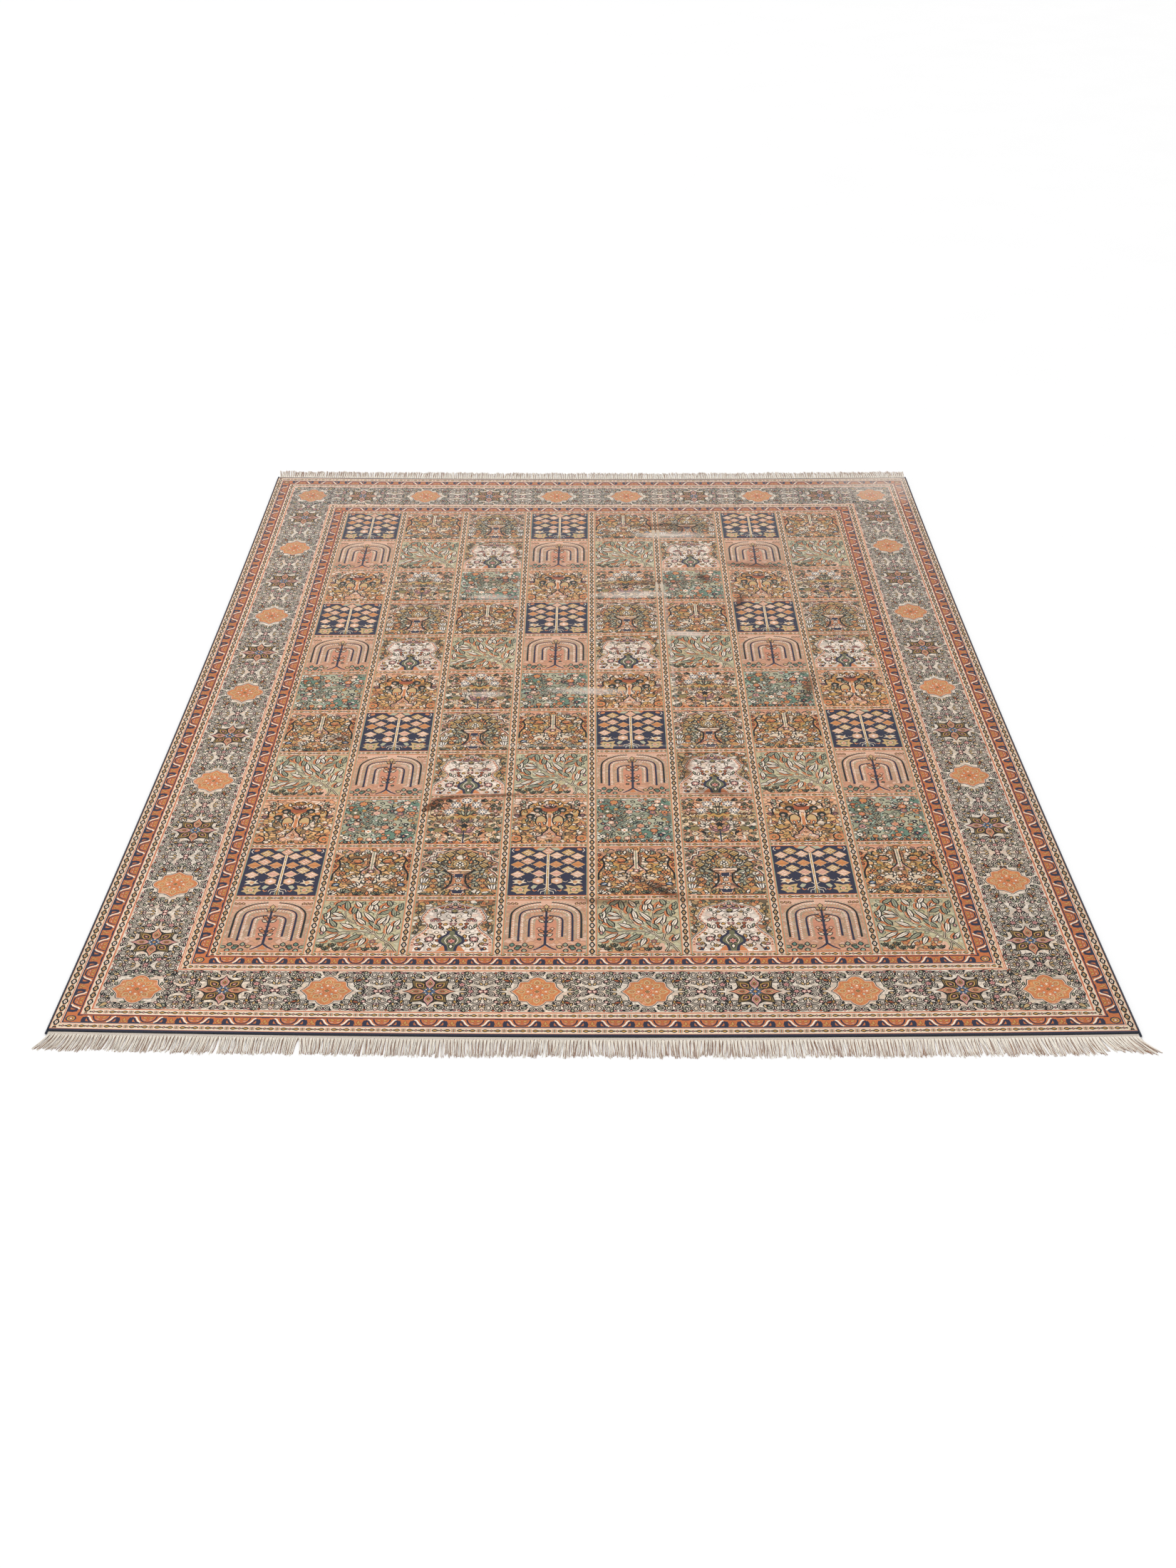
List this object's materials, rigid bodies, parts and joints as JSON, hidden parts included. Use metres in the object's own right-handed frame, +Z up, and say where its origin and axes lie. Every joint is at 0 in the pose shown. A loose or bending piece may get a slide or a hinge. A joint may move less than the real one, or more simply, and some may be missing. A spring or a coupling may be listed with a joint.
{
  "type": "kashmir silk rug",
  "caption": "Flat rectangular hand-knotted silk rug: a garden field of small panels in nested floral and chain borders, navy side cords, and a fringed flat-woven strip at each end.",
  "frame": {"origin": "on the floor, under the middle of the rug and its fringes", "axes": "+Z up out of the pile, +Y along the length towards the far end of the picture, +X across to the right"},
  "size_m": [1.8683, 2.6184, 0.0075],
  "materials": {
    "silk_pile": "clipped silk pile in peach, rust, sage, gold, ivory and navy, with a soft directional sheen",
    "navy_overcast": "navy yarn wrapped closely round the edge warps",
    "pale_warp": "undyed cream warps, flat-woven at the root and loose in the fringe, with beige tips"
  },
  "bodies": {
    "root": {"knotted_cloth": "silk_pile", "side_cord_left": "navy_overcast", "side_cord_right": "navy_overcast", "fringe_front": "pale_warp", "fringe_back": "pale_warp"}
  },
  "joints": []
}
